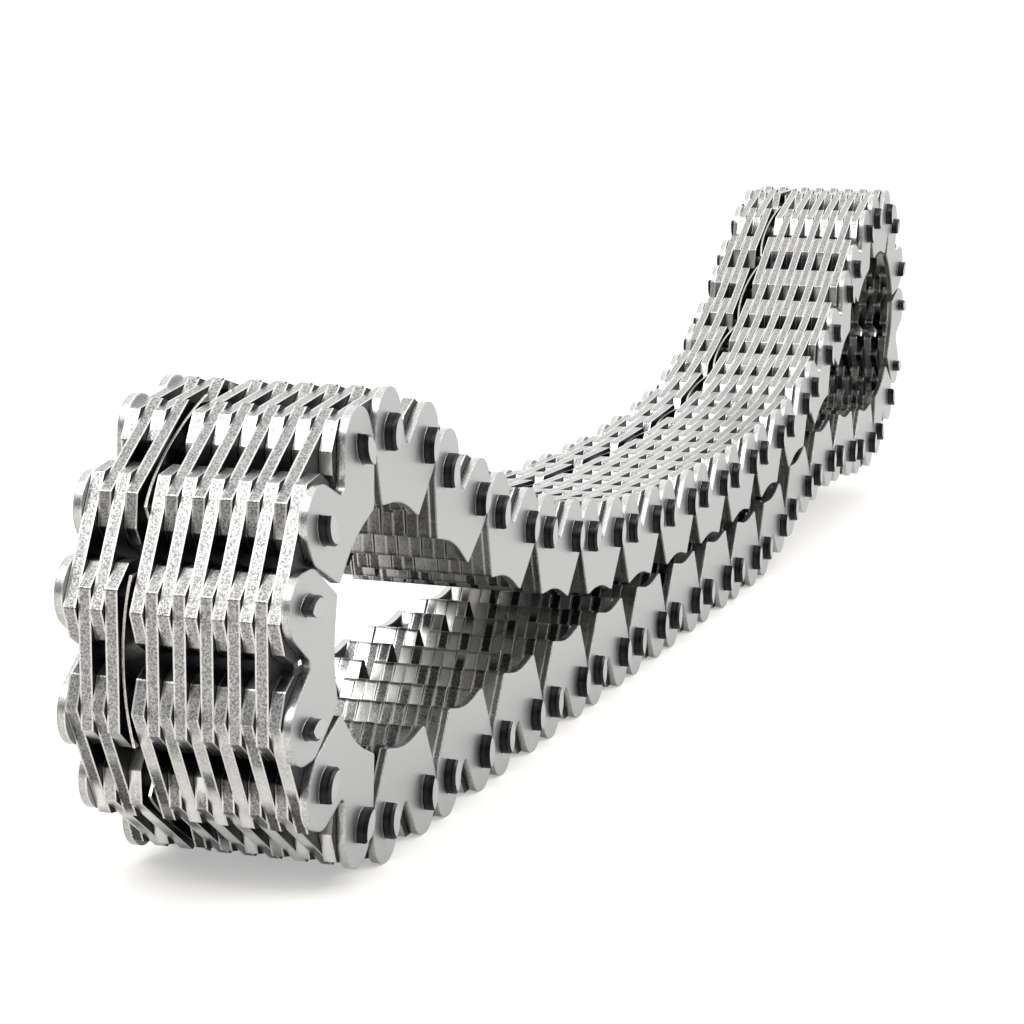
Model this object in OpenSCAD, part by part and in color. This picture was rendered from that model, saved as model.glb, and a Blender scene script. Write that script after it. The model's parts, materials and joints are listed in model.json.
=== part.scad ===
// Silent chain: an endless inverted-tooth chain with rocker pins, standing as a loop on a flat surface.
// Units are millimetres, Z is up, X runs along the floor run from the near loop to the far loop,
// Y runs along the pins. The origin is at floor level in the middle of the loop.

/* [Chain] */
// Distance between neighbouring joints
pitch = 9.525; // [9.4:0.005:9.7]
// Thickness of a toothed plate
plate_t = 1.34; // [1.3:0.02:1.4]
// Thickness of a guide plate
guide_t = 0.9; // [0.8:0.05:1.1]
// Gap between neighbouring plates on the pins
plate_gap = 0.05; // [0.05:0.01:0.1]
// Gap between the toes of the two strands where the upper one lies on the lower one
strand_gap = 0.4; // [0.3:0.1:1]

/* [Pins] */
// Diameter of the round holes that hold a pair of pins
bore_d = 4.6; // [4.4:0.05:4.8]
// Clearance of a pin in its hole
pin_clear = 0.05; // [0.05:0.01:0.08]
// Radius of the rocking faces
rocker_r = 2.4; // [2.3:0.05:2.8]
// Bend at which the rocking faces would come within the pin clearance
bend_max = 40; // [36:1:44]
// Height of a long pin's end above its guide plate
pin_proud = 1.2; // [1:0.1:1.4]
// Chamfer around the ends of a pin
pin_chamfer = 0.25; // [0.15:0.05:0.35]

/* [Guide plates] */
// Gap between neighbouring guide plates in a straight run
guide_gap = 0.45; // [0.4:0.05:0.7]
// Radius of the two ears
ear_r = 3.5; // [3.3:0.1:3.6]
// Height of the ears' centres above the joint line
ear_rise = 1.02; // [0.9:0.02:1.1]
// Radius of the hips below the ears
hip_r = 3; // [2.8:0.1:3.2]
// Depth of the hips' centres below the joint line
hip_drop = 0.5; // [0.3:0.1:0.6]
// Distance from the plate's middle to a toe's centre
guide_toe_x = 5.24; // [5:0.02:5.3]
// Radius of the toes
guide_toe_r = 0.5; // [0.4:0.05:0.6]
// Height of the arch between the toes
arch_h = 0.76; // [0.6:0.02:1]
// Radius at the bottom of the notch between the ears
notch_r = 0.95; // [0.8:0.05:1.1]
// Height of the notch radius's centre above the joint line
notch_rise = 0.48; // [0.3:0.02:0.7]

/* [Toothed plates] */
// Gap between neighbouring toothed plates of one row in a straight run
row_gap = 0.9; // [0.7:0.05:1.2]
// Height of the straight back above the joint line
back_h = 4.15; // [4:0.05:4.15]
// Depth of the toes below the joint line
toe_h = 7.33; // [7.1:0.01:7.5]
// Distance from the plate's middle to a toe's centre
toe_x = 4.85; // [4.7:0.05:5]
// Radius of the toes
toe_r = 0.6; // [0.5:0.05:0.7]
// Distance from the plate's middle to the centres of the back's corners
back_x = 6.8; // [6.4:0.1:7]
// Radius of the corners of the back
back_r = 0.35; // [0.3:0.05:0.6]
// Radius of the corners at the ends
end_r = 0.45; // [0.4:0.05:0.6]
// Height of the ends' upper corners above the joint line
end_rise = 1.3; // [1.1:0.1:1.5]
// Depth of the ends' lower corners below the joint line
end_drop = 0.75; // [0.6:0.05:0.9]
// Radius of the crotch between the two teeth
crotch_r = 1.3; // [1.1:0.1:1.5]
// Depth of the crotch radius's centre below the joint line
crotch_drop = 3.2; // [3:0.1:3.4]

/* [Leaf springs] */
// Thickness of a leaf
leaf_t = 0.3; // [0.2:0.05:0.4]
// Distance from a leaf's middle to its end
leaf_x = 8.4; // [8:0.1:8.6]
// Height of a leaf's top above the joint line
leaf_top = 3.7; // [3.4:0.1:3.9]
// Depth of a leaf's lower edge below the joint line
leaf_drop = 3; // [2.8:0.1:3.2]
// Gap between a leaf and the plates beside it
leaf_gap = 0.075; // [0.06:0.005:0.1]
// Clearance of the pins in a leaf's holes
leaf_clear = 0.2; // [0.15:0.05:0.3]

/* [Rest shape] */
// Turn at the end of the far loop, where the chain comes down onto the floor run
landing_turn = 12; // [10:1:12]
// Turn of the slow rise between the dip and the steep part of the upper strand
drift_turn = 5; // [5:0.5:7]

/* [Hidden] */
$fn = 96;

// Kinds of layer along the pins: guide plate, inner link's row, guide link's row, leaf spring
layers = "GBABABABABABLABABG";
layer_w = plate_t + plate_gap;
row_n = len(layers) - 2;
rows_w = row_n * layer_w;
chain_w = rows_w + plate_gap + 2 * guide_t;

// Joints of the loop in order: straight lead, near loop, dip of the upper strand, slow rise,
// steep rise to the far loop, far loop, heel behind it and landing. The floor run closes the loop.
lead_n = 1;
nose_n = 9;
dip_n = 13;
drift_n = 4;
rise_n = 7;
tail_n = 12;
heel_n = 6;
landing_n = 3;
floor_n = 16;
near_n = lead_n + nose_n + dip_n;
moving_n = near_n + drift_n + rise_n + tail_n + heel_n + landing_n - 1;
pair_n = moving_n / 2;

bore_r = bore_d / 2;
pin_r = bore_r - pin_clear;
// Gap between the rocking faces of a straight joint
rock = cos(bend_max / 2);
rocker_gap = (pin_clear + 2 * rocker_r * (1 - rock)) / rock;
rocker_x = rocker_gap / 2 + rocker_r;

guide_x = pitch - guide_gap / 2;
ear_x = guide_x - ear_r;
ear_top = ear_rise + ear_r;
toe_slack = 0.15;
arch_r = (pow(guide_toe_x, 2) + pow(arch_h - guide_toe_r, 2) - pow(guide_toe_r + toe_slack, 2))
    / (2 * (arch_h + toe_slack));
row_x = pitch - row_gap / 2;

leaf_room = layer_w + plate_gap;
leaf_bow = leaf_room - leaf_t - 2 * leaf_gap;
leaf_bend_r = (pow(leaf_x, 2) + pow(leaf_bow, 2)) / (2 * leaf_bow);

steel = [0.72, 0.72, 0.7];
dark_steel = [0.55, 0.54, 0.52];
bright_steel = [0.82, 0.82, 0.81];

// Outlines as rows of circles, counter-clockwise: x, y and radius, negative for a hollow
guide_half = [
    [guide_toe_x, guide_toe_r - toe_h, guide_toe_r],
    [guide_x - hip_r, -hip_drop, hip_r],
    [ear_x, ear_rise, ear_r]
];
guide_outline = concat(
    guide_half,
    [[0, notch_rise, -notch_r]],
    flipped(guide_half),
    [[0, arch_h - toe_h - arch_r, -arch_r]]
);
row_half = [
    [toe_x, toe_r - toe_h, toe_r],
    [row_x - end_r, -end_drop, end_r],
    [row_x - end_r, end_rise, end_r],
    [back_x, back_h - back_r, back_r]
];
row_outline = concat(row_half, flipped(row_half), [[0, -crotch_drop, -crotch_r]]);

function flipped(half) = [for (i = [len(half) - 1:-1:0]) [-half[i].x, half[i].y, half[i].z]];

// Bends shared out over n joints as half a sine wave, as a rounder arc, or as a wave that fades out
function shared(w, total) = let (sum = w * [for (i = w) 1]) [for (i = w) total * i / sum];
function lobe(n, total) = shared([for (i = [0:n - 1]) sin(180 * (i + 0.5) / n)], total);
function arc(n, total) = shared([for (i = [0:n - 1]) sqrt(sin(180 * (i + 0.5) / n))], total);
function fade(n, total) = shared([for (i = [0:n - 1]) cos(90 * (i + 0.5) / n)], total);

function running(v) = [for (i = 0, s = v[0]; i < len(v); i = i + 1, s = i < len(v) ? s + v[i] : s) s];

// Bends of the joints for the turns of the near loop, the rise and the heel
function bends(t) = concat(
    [for (i = [1:lead_n]) 0],
    arc(nose_n, t.x),
    fade(dip_n, 180 - t.x),
    [for (i = [1:drift_n]) -drift_turn / drift_n],
    arc(rise_n, -t.y),
    lobe(tail_n, 180 + drift_turn + t.y + t.z - landing_turn),
    lobe(heel_n, -t.z),
    lobe(landing_n, landing_turn)
);

function headings(b) = [for (s = running(b)) 180 - s];

function places(h) = let (
    x = running([0, for (i = [0:len(h) - 2]) pitch * cos(h[i])]),
    z = running([0, for (i = [0:len(h) - 2]) pitch * sin(h[i])])
) [for (i = [0:len(h) - 1]) [x[i], z[i]]];

// How far the loop is from meeting the floor run and from lying on its toes
function misfit(t) = let (
    j = places(headings(bends(t))),
    end = j[len(j) - 1]
) [end.x - floor_n * pitch, end.y, j[near_n].y - 2 * toe_h - strand_gap];

step = 0.01;
function closed(t, rounds) = rounds == 0 ? t : let (
    e = misfit(t),
    a = (misfit(t + [step, 0, 0]) - e) / step,
    b = (misfit(t + [0, step, 0]) - e) / step,
    c = (misfit(t + [0, 0, step]) - e) / step,
    all = a * cross(b, c)
) closed(t - [e * cross(b, c), a * cross(e, c), a * cross(b, e)] / all, rounds - 1);

turns = closed([206, 31, 17], 8);
heading = headings(bends(turns));
joint = places(heading);

// Middles and headings of the moving links and of the floor run's links
function link_at(m) = let (
    mid = (joint[m] + joint[m + 1]) / 2
) [mid.x, mid.y, heading[m]];
moving = [for (m = [0:moving_n - 1]) link_at(m)];
resting = [for (i = [0:floor_n - 1]) [(i + 0.5) * pitch, 0, 180]];

// Ends of the loop along X and its lowest point, over every rounded corner of every link
function along(link, c) = link.x + c.x * cos(link.z) - c.y * sin(link.z);
function above(link, c) = link.y + c.x * sin(link.z) + c.y * cos(link.z);
row_corners = concat(row_half, flipped(row_half));
guide_corners = concat(guide_half, flipped(guide_half), row_corners);
function corners(m) = m % 2 == 0 ? guide_corners : row_corners;
x_low = min([for (m = [0:moving_n - 1], c = corners(m)) along(moving[m], c) - c.z]);
x_high = max([for (m = [0:moving_n - 1], c = corners(m)) along(moving[m], c) + c.z]);
origin_x = (x_low + x_high) / 2;
floor_z = min(-ear_top, min([for (m = [0:moving_n - 1], c = corners(m)) above(moving[m], c) - c.z]));

// Direction of the outside of the line that touches two neighbouring circles
function outside(a, b) = let (
    d = [b.x - a.x, b.y - a.y],
    turn = atan2(d.y, d.x) - acos((a.z - b.z) / norm(d))
) [cos(turn), sin(turn)];

// The line ends a little inside each circle, so that every edge meets its arc cleanly
seat = 0.003;
function touch(c, side) = [c.x, c.y] + (c.z - sign(c.z) * seat) * side;

// Outline that runs around a row of circles like a belt
module belt(c) {
    n = len(c);
    lines = [for (i = [0:n - 1]) outside(c[i], c[(i + 1) % n])];
    difference() {
        union() {
            polygon([for (i = [0:n - 1]) each [touch(c[i], lines[(i + n - 1) % n]), touch(c[i], lines[i])]]);
            for (k = c)
                if (k.z > 0)
                    translate([k.x, k.y])
                        circle(k.z);
        }
        for (k = c)
            if (k.z < 0)
                translate([k.x, k.y])
                    circle(-k.z);
    }
}

// Places of the layers of one kind along the pins
guide_y = (chain_w - guide_t) / 2;
function row_y(i) = (i - (row_n + 1) / 2) * layer_w;
function rows(kind) = [for (i = [1:row_n]) if (layers[i] == kind) row_y(i)];

// A flat profile stood up in the plane of the loop, outward side up
module upright(thick) {
    rotate([90, 0, 0])
        linear_extrude(height = thick, center = true)
            children();
}

// Section of a pin: a round with a rocking face towards the middle of the joint
module pin_section(side, spare) {
    intersection() {
        translate([side * pitch / 2, 0])
            circle(pin_r + spare);
        translate([side * (pitch / 2 + rocker_x), 0])
            circle(rocker_r + spare);
    }
}

module guide_plates() {
    color(steel)
        for (y = [-guide_y, guide_y])
            translate([0, y, 0])
                upright(guide_t)
                    difference() {
                        belt(guide_outline);
                        for (side = [-1, 1])
                            pin_section(side, pin_clear);
                    }
}

module toothed_plates(kind) {
    color(dark_steel)
        for (y = rows(kind))
            translate([0, y, 0])
                upright(plate_t)
                    difference() {
                        belt(row_outline);
                        for (side = [-1, 1])
                            translate([side * pitch / 2, 0])
                                circle(bore_r);
                    }
}

// A thin strip bowed along its length, pressing the rows together
module leaf_spring() {
    height = leaf_top + leaf_drop;
    far = leaf_room / 2 - leaf_gap;
    color(bright_steel)
        translate([0, rows("L")[0], 0])
            difference() {
                intersection() {
                    translate([0, far - leaf_bend_r, -leaf_drop])
                        difference() {
                            cylinder(r = leaf_bend_r, h = height);
                            translate([0, 0, -1])
                                cylinder(r = leaf_bend_r - leaf_t, h = height + 2);
                        }
                    translate([-leaf_x, -leaf_room, -leaf_drop - 1])
                        cube([2 * leaf_x, 2 * leaf_room, height + 2]);
                }
                for (side = [-1, 1])
                    translate([side * pitch / 2, 0, 0])
                        rotate([90, 0, 0])
                            cylinder(r = bore_r + leaf_clear, h = 4 * leaf_room, center = true);
            }
}

// A pair of pins with chamfered ends
module pins(long, tone) {
    color(tone)
        for (side = [-1, 1])
            intersection() {
                upright(long)
                    pin_section(side, 0);
                translate([side * pitch / 2, 0, 0])
                    rotate([90, 0, 0])
                        round_bar(long);
            }
}

module round_bar(long) {
    straight = long - 2 * pin_chamfer;
    cylinder(r = pin_r + seat, h = straight, center = true);
    for (end = [0, 1])
        mirror([0, 0, end])
            translate([0, 0, straight / 2])
                cylinder(r1 = pin_r + seat, r2 = pin_r - pin_chamfer, h = pin_chamfer);
}

module guide_pins() {
    pins(chain_w + 2 * pin_proud, bright_steel);
}

module rocker_pins() {
    pins(rows_w - plate_gap, bright_steel);
}

// Moves a link from the joint line to its place in the loop
module placed(link) {
    translate([link.x - origin_x, 0, link.y - floor_z])
        rotate([0, -link.z, 0])
            children();
}

// Links of the floor run: a guide link stands at every odd place
function resting_links(kind) = [for (i = [0:floor_n - 1]) if (i % 2 == kind) resting[i]];

module guide_link(i) {
    placed(moving[2 * i - 2]) {
        guide_plates();
        toothed_plates("A");
        leaf_spring();
        guide_pins();
    }
}

module inner_link(i) {
    placed(moving[2 * i - 1]) {
        toothed_plates("B");
        rocker_pins();
    }
}

module floor_guide_plates() {
    for (link = resting_links(1))
        placed(link)
            guide_plates();
}

module floor_guide_link_plates() {
    for (link = resting_links(1))
        placed(link)
            toothed_plates("A");
}

module floor_inner_link_plates() {
    for (link = resting_links(0))
        placed(link)
            toothed_plates("B");
}

module floor_leaf_springs() {
    for (link = resting_links(1))
        placed(link)
            leaf_spring();
}

module floor_guide_pins() {
    for (link = resting_links(1))
        placed(link)
            guide_pins();
}

module floor_rocker_pins() {
    for (link = resting_links(0))
        placed(link)
            rocker_pins();
}

function numbered(name, i) = str(name, i < 10 ? "_0" : "_", i);

floor_guide_plates();
floor_guide_link_plates();
floor_inner_link_plates();
floor_leaf_springs();
floor_guide_pins();
floor_rocker_pins();
for (i = [1:pair_n]) guide_link(i);
for (i = [1:pair_n]) inner_link(i);
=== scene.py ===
# Silent chain lying as a flattened loop: finishes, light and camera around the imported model
import bpy
import json
import math
from mathutils import Matrix, Vector

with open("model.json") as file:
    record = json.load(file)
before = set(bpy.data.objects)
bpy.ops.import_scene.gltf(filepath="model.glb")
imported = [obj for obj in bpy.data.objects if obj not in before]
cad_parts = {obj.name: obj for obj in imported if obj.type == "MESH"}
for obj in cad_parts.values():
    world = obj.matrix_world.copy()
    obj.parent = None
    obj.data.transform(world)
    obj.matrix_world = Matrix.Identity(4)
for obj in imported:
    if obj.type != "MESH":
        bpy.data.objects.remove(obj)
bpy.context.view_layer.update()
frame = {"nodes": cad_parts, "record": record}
print("chain loaded:", len(frame["nodes"]), "nodes")

mm = 0.001

# Socket numbers: the limits of a Map Range, and both inputs and the output of a Mix
fromLow, fromHigh, toLow, toHigh = 1, 2, 3, 4
floatA, floatB, floatOut = 2, 3, 0
colourA, colourB, colourOut = 6, 7, 2
mixSockets = {"FLOAT": (floatA, floatB, floatOut), "RGBA": (colourA, colourB, colourOut)}


def linear(hexColour):
    out = []
    for i in (1, 3, 5):
        c = int(hexColour[i:i + 2], 16) / 255
        out.append(c / 12.92 if c <= 0.04045 else ((c + 0.055) / 1.055) ** 2.4)
    return (*out, 1.0)


def addNode(tree, kind, links=None, values=None, **settings):
    made = tree.nodes.new(kind)
    for key, value in settings.items():
        setattr(made, key, value)
    for key, value in (values or {}).items():
        made.inputs[key].default_value = value
    for key, source in (links or {}).items():
        tree.links.new(source, made.inputs[key])
    return made


def emptyMaterial(name):
    made = bpy.data.materials.new(name)
    made.use_nodes = True
    made.node_tree.nodes.clear()
    return made, made.node_tree


# Layers across the chain, in millimetres from the middle of its width
layers = {
    "guideFrom": 11.12,   # inner face of the guide plates
    "pinFrom": 12.06,   # pin ends stand proud of the guide plates
    "leafFrom": 4.17,
    "leafTo": 5.56,
}

# Cold-rolled carbon steel, blanked and oiled: the cut edges are granular and sparkle,
# and the flat sides, seen only down the gaps between plates, are painted near black as painted shade for the
# gaps
toothLook = {
    "side": "#3a3a3b",
    "sideShade": "#1d1d1f",
    "edge": "#cac9c7",
    "edgeShade": "#686766",
    "sideRoughness": 0.42,
    "edgeRoughness": 0.3,
    "rubbed": 0.1,   # radius of the rounded corners, in millimetres
}
# The same steel, tumbled until the flat sides are an even satin and the rims are rounded
guideLook = {
    "side": "#a8a9aa",
    "sideShade": "#a0a1a2",
    "edge": "#cfcfcd",
    "edgeShade": "#a09f9d",
    "sideRoughness": 0.4,
    "edgeRoughness": 0.27,
    "rubbed": 0.32,
}
# Spring steel strip, cold rolled: smooth and bright with a thin film of oil
leafLook = {
    "side": "#8c8b87",
    "sideShade": "#4f4e4c",
    "edge": "#dddcd8",
    "edgeShade": "#9a9892",
    "sideRoughness": 0.25,
    "edgeRoughness": 0.25,
    "rubbed": 0.05,
}
# Bearing steel, centreless ground, with tumbled satin ends: the flanks are painted dark as painted shade for
# the side of each pin end that stands in shadow
pinLook = {
    "side": "#b0b1b1",
    "sideShade": "#a4a5a5",
    "edge": "#3a3a3a",
    "edgeShade": "#262627",
    "sideRoughness": 0.4,
    "edgeRoughness": 0.28,
    "rubbed": 0.12,
}
# Painted light on the toothed plates: inside the loop some toes are painted near white as a painted
# highlight and others near black as painted shade, and the gaps get painted shade
paintedLightColours = {"paintedBright": "#e2e1de", "paintedDark": "#1f1f20", "gapShade": "#1a1a1c"}
# Patterns that all the steels share, in millimetres
steelGrain = {
    "mottle": 6.0,   # faint clouds left by tumbling
    "rolling": 0.45,   # rolling grain, really about 0.05, drawn coarser so that it shows
    "shear": 0.22,   # torn grain of a blanked edge, really about 0.1, drawn coarser so that it shows
    "sideRelief": 0.006,
    "edgeRelief": 0.018,
    "plate": 1.39,   # thickness of a plate with its gap
    "toePatch": 7.0,   # length over which one plate's edge changes tone
    "rowStep": 31.7,   # shift of that pattern from one plate to the next
    "reach": 6.0,   # how far round a point its surroundings shade it
    "loop": 26.0,   # how far to look for the far side of the loop
}
# Shares at which those patterns set in
steelBlend = {
    "side": {fromLow: 0.75, fromHigh: 0.95},   # how squarely a flat side looks across the chain
    "drawn": 0.15,   # the rolling grain is stretched along the strip
    "clouds": {fromLow: 0.3, fromHigh: 0.7},
    "ragged": {fromLow: 0.3, fromHigh: 0.7, toLow: -0.06, toHigh: 0.06},   # border of the torn band
    "rimPolishAndHighlight": {fromLow: 0.3, fromHigh: 0.38},   # start of the bright rim, from the plate's middle: burnished by tumbling, and brightened further as a painted highlight along the plate's borders
    "speckle": {fromLow: 0.4, fromHigh: 0.6, toHigh: 0.6},   # bright grains in the torn band
    "second": 0.13,   # how much sooner every second plate turns dark
    "tone": {fromLow: 0.5, fromHigh: 0.62},   # from the painted highlight to the painted shade
    "inside": {fromLow: 0.72, fromHigh: 0.5, toLow: 0.0, toHigh: 0.85},   # by how little is open
    "clearOfGapShade": {fromLow: 0.02, fromHigh: 0.3, toLow: 0.3, toHigh: 1.0},   # by how much is open
    "worn": {fromLow: 0.3, fromHigh: 0.7, toLow: -0.06, toHigh: 0.06},   # roughness of the clouds
}


def steel(name, look, outer=None, ends=None, leaf=None):
    made, tree = emptyMaterial(name)
    grain, blend = steelGrain, steelBlend
    place = addNode(tree, "ShaderNodeTexCoord")
    spot = addNode(tree, "ShaderNodeSeparateXYZ", {0: place.outputs["Object"]})
    turn = addNode(tree, "ShaderNodeSeparateXYZ", {0: place.outputs["Normal"]})
    across = addNode(tree, "ShaderNodeMath", {0: spot.outputs["Y"]}, operation="ABSOLUTE")
    facing = addNode(tree, "ShaderNodeMath", {0: turn.outputs["Y"]}, operation="ABSOLUTE")
    isSide = addNode(tree, "ShaderNodeMapRange", {0: facing.outputs[0]}, blend["side"]).outputs[0]

    # which piece of the link a point is on, by its layer
    pieces = []
    if outer:
        isOuter = addNode(tree, "ShaderNodeMath", {0: across.outputs[0]}, {1: layers["guideFrom"] * mm},
                          operation="GREATER_THAN")
        pieces.append((outer, isOuter))
    if leaf:
        leafMiddle = (layers["leafFrom"] + layers["leafTo"]) / 2 * mm
        leafHalf = (layers["leafTo"] - layers["leafFrom"]) / 2 * mm
        isLeaf = addNode(tree, "ShaderNodeMath", {0: spot.outputs["Y"]}, {1: leafMiddle, 2: leafHalf},
                         operation="COMPARE")
        pieces.append((leaf, isLeaf))
    if ends:
        isEnd = addNode(tree, "ShaderNodeMath", {0: across.outputs[0]}, {1: layers["pinFrom"] * mm},
                        operation="GREATER_THAN")
        pieces.append((ends, isEnd))

    def feed(target, key, kind):
        # sets an input to the look's value, chosen by piece where the link has several
        value = linear(look[key]) if kind == "RGBA" else look[key]
        target.default_value = value
        first, second, result = mixSockets[kind]
        last = None
        for other, mask in pieces:
            other = linear(other[key]) if kind == "RGBA" else other[key]
            mix = addNode(tree, "ShaderNodeMix", {0: mask.outputs[0]}, data_type=kind)
            mix.inputs[first].default_value = value
            mix.inputs[second].default_value = other
            if last:
                tree.links.new(last, mix.inputs[first])
            last = mix.outputs[result]
        if last:
            tree.links.new(last, target)

    mottle = addNode(tree, "ShaderNodeTexNoise", {"Vector": place.outputs["Object"]},
                     {"Scale": 1 / (grain["mottle"] * mm), "Detail": 4.0, "Roughness": 0.6}).outputs[0]
    shear = addNode(tree, "ShaderNodeTexNoise", {"Vector": place.outputs["Object"]},
                    {"Scale": 1 / (grain["shear"] * mm), "Detail": 3.0, "Roughness": 0.7}).outputs[0]
    drawn = addNode(tree, "ShaderNodeMapping", {0: place.outputs["Object"]},
                    {"Scale": (blend["drawn"], 1.0, 1.0)})
    rolling = addNode(tree, "ShaderNodeTexNoise", {"Vector": drawn.outputs[0]},
                      {"Scale": 1 / (grain["rolling"] * mm), "Detail": 3.0, "Roughness": 0.7}).outputs[0]
    clouds = addNode(tree, "ShaderNodeMapRange", {0: mottle}, blend["clouds"]).outputs[0]
    # a blanked edge is torn along its middle, and tumbling polishes its two rims; the rims are also painted
    # brighter than polish alone, a painted highlight along each plate's borders
    row = addNode(tree, "ShaderNodeMath", {0: spot.outputs["Y"]}, {1: grain["plate"] * mm},
                  operation="DIVIDE")
    number = addNode(tree, "ShaderNodeMath", {0: row.outputs[0]}, operation="FLOOR")
    depth = addNode(tree, "ShaderNodeMath", {0: row.outputs[0], 1: number.outputs[0]}, operation="SUBTRACT")
    offset = addNode(tree, "ShaderNodeMath", {0: depth.outputs[0]}, {1: 0.5}, operation="SUBTRACT")
    ragged = addNode(tree, "ShaderNodeMapRange", {0: shear}, blend["ragged"]).outputs[0]
    fromMiddle = addNode(tree, "ShaderNodeMath", {0: offset.outputs[0]}, operation="ABSOLUTE")
    nearRim = addNode(tree, "ShaderNodeMath", {0: fromMiddle.outputs[0], 1: ragged}, operation="ADD")
    rimPolishAndHighlight = addNode(tree, "ShaderNodeMapRange", {0: nearRim.outputs[0]}, blend["rimPolishAndHighlight"]).outputs[0]
    speckle = addNode(tree, "ShaderNodeMapRange", {0: shear}, blend["speckle"]).outputs[0]
    brightGrainAndRimHighlight = addNode(tree, "ShaderNodeMath", {0: rimPolishAndHighlight, 1: speckle}, operation="MAXIMUM").outputs[0]

    sideColour = addNode(tree, "ShaderNodeMix", {0: clouds}, data_type="RGBA")
    edgeColour = addNode(tree, "ShaderNodeMix", {0: brightGrainAndRimHighlight}, data_type="RGBA")
    feed(sideColour.inputs[colourA], "sideShade", "RGBA")
    feed(sideColour.inputs[colourB], "side", "RGBA")
    feed(edgeColour.inputs[colourA], "edgeShade", "RGBA")
    feed(edgeColour.inputs[colourB], "edge", "RGBA")
    # painted highlight and shade: inside the loop, where the far strand closes it in, some toes are painted
    # near white and others near black
    apart = addNode(tree, "ShaderNodeMath", {0: number.outputs[0]}, {1: grain["rowStep"] * mm},
                    operation="MULTIPLY")
    spread = addNode(tree, "ShaderNodeCombineXYZ",
                     {0: spot.outputs["X"], 1: apart.outputs[0], 2: spot.outputs["Z"]})
    toePatch = addNode(tree, "ShaderNodeTexNoise", {"Vector": spread.outputs[0]},
                   {"Scale": 1 / (grain["toePatch"] * mm), "Detail": 1.0}).outputs[0]
    everySecond = addNode(tree, "ShaderNodeMath", {0: number.outputs[0]}, {1: 2.0},
                          operation="FLOORED_MODULO")
    uneven = addNode(tree, "ShaderNodeMath", {0: everySecond.outputs[0], 2: toePatch}, {1: blend["second"]},
                     operation="MULTIPLY_ADD")
    tone = addNode(tree, "ShaderNodeMapRange", {0: uneven.outputs[0]}, blend["tone"]).outputs[0]
    around = addNode(tree, "ShaderNodeAmbientOcclusion", None, {"Distance": grain["reach"] * mm},
                     samples=6).outputs["AO"]
    within = addNode(tree, "ShaderNodeAmbientOcclusion", None, {"Distance": grain["loop"] * mm},
                     samples=4).outputs["AO"]
    inside = addNode(tree, "ShaderNodeMapRange", {0: within}, blend["inside"]).outputs[0]
    flank = addNode(tree, "ShaderNodeMix", {0: tone},
                    {colourA: linear(paintedLightColours["paintedBright"]), colourB: linear(paintedLightColours["paintedDark"])},
                    data_type="RGBA")
    toothed = addNode(tree, "ShaderNodeMath", {0: across.outputs[0]}, {1: layers["guideFrom"] * mm},
                      operation="LESS_THAN")
    tornBand = addNode(tree, "ShaderNodeMath", {0: toothed.outputs[0], 1: rimPolishAndHighlight}, operation="SUBTRACT",
                       use_clamp=True)
    paintedInsideShare = addNode(tree, "ShaderNodeMath", {0: inside, 1: tornBand.outputs[0]}, operation="MULTIPLY")
    edgeOrPaintedInside = addNode(tree, "ShaderNodeMix",
                    {0: paintedInsideShare.outputs[0], colourA: edgeColour.outputs[colourOut],
                     colourB: flank.outputs[colourOut]}, data_type="RGBA")
    bare = addNode(tree, "ShaderNodeMix",
                   {0: isSide, colourA: edgeOrPaintedInside.outputs[colourOut], colourB: sideColour.outputs[colourOut]},
                   data_type="RGBA")
    # painted shade: where plates stand close together the colour is mixed towards near black, for the shade
    # in the gaps
    clearOfGapShade = addNode(tree, "ShaderNodeMapRange", {0: around}, blend["clearOfGapShade"])
    colour = addNode(tree, "ShaderNodeMix", {0: clearOfGapShade.outputs[0], colourB: bare.outputs[colourOut]},
                     {colourA: linear(paintedLightColours["gapShade"])}, data_type="RGBA")

    gloss = addNode(tree, "ShaderNodeMix", {0: isSide}, data_type="FLOAT")
    feed(gloss.inputs[floatA], "edgeRoughness", "FLOAT")
    feed(gloss.inputs[floatB], "sideRoughness", "FLOAT")
    worn = addNode(tree, "ShaderNodeMapRange", {0: mottle}, blend["worn"])
    roughness = addNode(tree, "ShaderNodeMath", {0: gloss.outputs[floatOut], 1: worn.outputs[0]},
                        operation="ADD")

    sideHigh = addNode(tree, "ShaderNodeMath", {0: rolling}, {1: grain["sideRelief"]}, operation="MULTIPLY")
    edgeHigh = addNode(tree, "ShaderNodeMath", {0: shear}, {1: grain["edgeRelief"]}, operation="MULTIPLY")
    flat = addNode(tree, "ShaderNodeMath", {0: rimPolishAndHighlight, 1: isSide}, operation="MAXIMUM")
    relief = addNode(tree, "ShaderNodeMix",
                     {0: flat.outputs[0], floatA: edgeHigh.outputs[0], floatB: sideHigh.outputs[0]},
                     data_type="FLOAT")
    rounding = addNode(tree, "ShaderNodeMath", None, {1: mm}, operation="MULTIPLY")
    feed(rounding.inputs[0], "rubbed", "FLOAT")
    corner = addNode(tree, "ShaderNodeBevel", {"Radius": rounding.outputs[0]}, samples=4)
    bump = addNode(tree, "ShaderNodeBump", {"Height": relief.outputs[floatOut], "Normal": corner.outputs[0]},
                   {"Distance": mm})
    skin = addNode(tree, "ShaderNodeBsdfPrincipled",
                   {"Base Color": colour.outputs[colourOut], "Roughness": roughness.outputs[0],
                    "Normal": bump.outputs[0]}, {"Metallic": 1.0})
    addNode(tree, "ShaderNodeOutputMaterial", {0: skin.outputs[0]})
    return made


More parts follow.
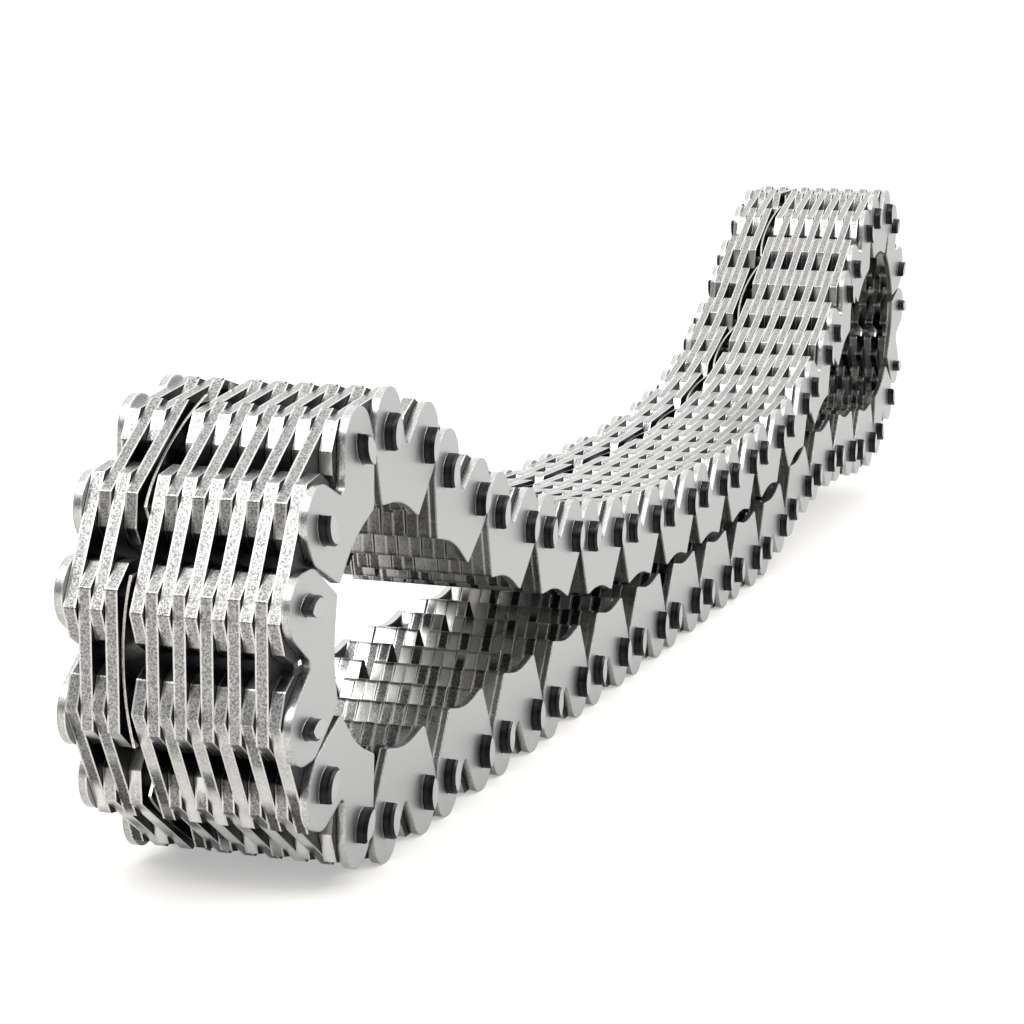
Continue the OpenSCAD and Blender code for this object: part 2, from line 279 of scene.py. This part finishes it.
finishes = {
    "guide_plate_steel": steel("tumbledGuideSteel", guideLook),
    "toothed_plate_steel": steel("blankedToothSteel", toothLook),
    "spring_steel": steel("rolledSpringSteel", leafLook),
    "pin_steel": steel("groundPinSteel", pinLook),
    "guide_link_steel": steel("lacedGuideLinkSteel", toothLook, guideLook, pinLook, leafLook),
    "inner_link_steel": steel("lacedInnerLinkSteel", toothLook),
}
slotOf = {entry["node"]: entry["material_slot"] for entry in frame["record"]["subparts"]}
for name, piece in frame["nodes"].items():
    for slot in piece.material_slots:
        slot.material = finishes[slotOf[name]]
print("finishes set:", len(finishes))

# Camera at the photograph's angle: place and sensor in millimetres, angles in degrees,
# focal length and frame in pixels, clipping in metres
view = {
    "at": (-391.42, -108.99, 81.93),
    "heading": 17.894,
    "down": 9.283,
    "roll": 0.963,
    "focal": 2803.2,
    "frame": 1024,
    "sensor": 36,
    "clip": (0.01, 100),
}


def placeCamera(look):
    heading, down, roll = (math.radians(look[key]) for key in ("heading", "down", "roll"))
    level = Vector((math.cos(heading), math.sin(heading), 0))
    forward = math.cos(down) * level - Vector((0, 0, math.sin(down)))
    right = forward.cross(Vector((0, 0, 1))).normalized()
    up = right.cross(forward)
    rolledRight = math.cos(roll) * right + math.sin(roll) * up
    rolledUp = math.cos(roll) * up - math.sin(roll) * right
    data = bpy.data.cameras.new("camera")
    data.sensor_width = look["sensor"]
    data.lens = look["focal"] / look["frame"] * look["sensor"]
    data.clip_start, data.clip_end = look["clip"]
    made = bpy.data.objects.new("camera", data)
    turned = Matrix((rolledRight, rolledUp, -forward)).transposed().to_4x4()
    made.matrix_world = Matrix.Translation(Vector(look["at"]) * mm) @ turned
    bpy.context.scene.collection.objects.link(made)
    bpy.context.scene.camera = made


placeCamera(view)
print("camera placed")

# Matt white card under the chain, a little warm in the shade: half its side in metres,
# and its fibre and relief in millimetres
floorLook = {
    "half": 40.0,
    "colour": "#bebcb8",
    "roughness": 0.85,
    "fibre": 1.5,
    "relief": 0.05,
    "reliefStrength": 0.05,
    "glow": 0.4,   # lifts the card to white without flooding the steel
}


def layFloor(look):
    h = look["half"]
    mesh = bpy.data.meshes.new("floor")
    mesh.from_pydata([(-h, -h, 0), (h, -h, 0), (h, h, 0), (-h, h, 0)], [], [(0, 1, 2, 3)])
    made = bpy.data.objects.new("floor", mesh)
    bpy.context.scene.collection.objects.link(made)
    card, tree = emptyMaterial("whiteCard")
    place = addNode(tree, "ShaderNodeTexCoord")
    fibre = addNode(tree, "ShaderNodeTexNoise", {"Vector": place.outputs["Object"]},
                    {"Scale": 1 / (look["fibre"] * mm)})
    bump = addNode(tree, "ShaderNodeBump", {"Height": fibre.outputs[0]},
                   {"Strength": look["reliefStrength"], "Distance": look["relief"] * mm})
    skin = addNode(tree, "ShaderNodeBsdfPrincipled", {"Normal": bump.outputs[0]},
                   {"Base Color": linear(look["colour"]), "Roughness": look["roughness"],
                    "Emission Color": (1, 1, 1, 1), "Emission Strength": look["glow"]})
    addNode(tree, "ShaderNodeOutputMaterial", {0: skin.outputs[0]})
    mesh.materials.append(card)


layFloor(floorLook)

# White studio: brightest overhead, dimmer at the level of the chain, dimmest behind the camera
studio = {
    "height": {fromLow: 0.1, fromHigh: 0.8, toLow: 1.1, toHigh: 1.7},   # by how far up a ray looks
    "behind": {fromLow: -0.88, fromHigh: -0.62, toLow: 0.15, toHigh: 1.0},   # by how far along X
    "ahead": {fromLow: 0.3, fromHigh: 0.9, toLow: 1.0, toHigh: 1.18},
    "backdrop": 1.05,   # what the camera itself sees
}


def lightStudio(look):
    world = bpy.data.worlds.new("studio")
    bpy.context.scene.world = world
    world.use_nodes = True
    tree = world.node_tree
    tree.nodes.clear()
    place = addNode(tree, "ShaderNodeTexCoord")
    way = addNode(tree, "ShaderNodeSeparateXYZ", {0: place.outputs["Generated"]})
    height = addNode(tree, "ShaderNodeMapRange", {0: way.outputs["Z"]}, look["height"])
    behind = addNode(tree, "ShaderNodeMapRange", {0: way.outputs["X"]}, look["behind"])
    ahead = addNode(tree, "ShaderNodeMapRange", {0: way.outputs["X"]}, look["ahead"])
    ends = addNode(tree, "ShaderNodeMath", {0: behind.outputs[0], 1: ahead.outputs[0]}, operation="MULTIPLY")
    level = addNode(tree, "ShaderNodeMath", {0: height.outputs[0], 1: ends.outputs[0]}, operation="MULTIPLY")
    room = addNode(tree, "ShaderNodeBackground", {"Strength": level.outputs[0]}, {"Color": (1, 1, 1, 1)})
    backdrop = addNode(tree, "ShaderNodeBackground", None,
                       {"Color": (1, 1, 1, 1), "Strength": look["backdrop"]})
    ray = addNode(tree, "ShaderNodeLightPath")
    seen = addNode(tree, "ShaderNodeMixShader",
                   {0: ray.outputs["Is Camera Ray"], 1: room.outputs[0], 2: backdrop.outputs[0]})
    addNode(tree, "ShaderNodeOutputWorld", {0: seen.outputs[0]})


lightStudio(studio)

# Softboxes: place and size in millimetres, power in watts
softboxes = {
    "overNose": {"at": (-370, 100, 400), "aim": (-150, 0, 35), "size": (320, 220), "power": 1.2},
    "alongSide": {"at": (80, -420, 300), "aim": (0, 0, 20), "size": (400, 120), "power": 1.0},
}


def hangSoftbox(name, look):
    data = bpy.data.lights.new(name, "AREA")
    data.shape = "RECTANGLE"
    data.size, data.size_y = (side * mm for side in look["size"])
    data.energy = look["power"]
    made = bpy.data.objects.new(name, data)
    made.location = Vector(look["at"]) * mm
    aim = Vector(look["aim"]) * mm - made.location
    made.rotation_euler = aim.to_track_quat("-Z", "Y").to_euler()
    bpy.context.scene.collection.objects.link(made)


for name, look in softboxes.items():
    hangSoftbox(name, look)
bpy.context.scene.view_settings.view_transform = "Standard"
print("studio lit:", len(softboxes), "softboxes")
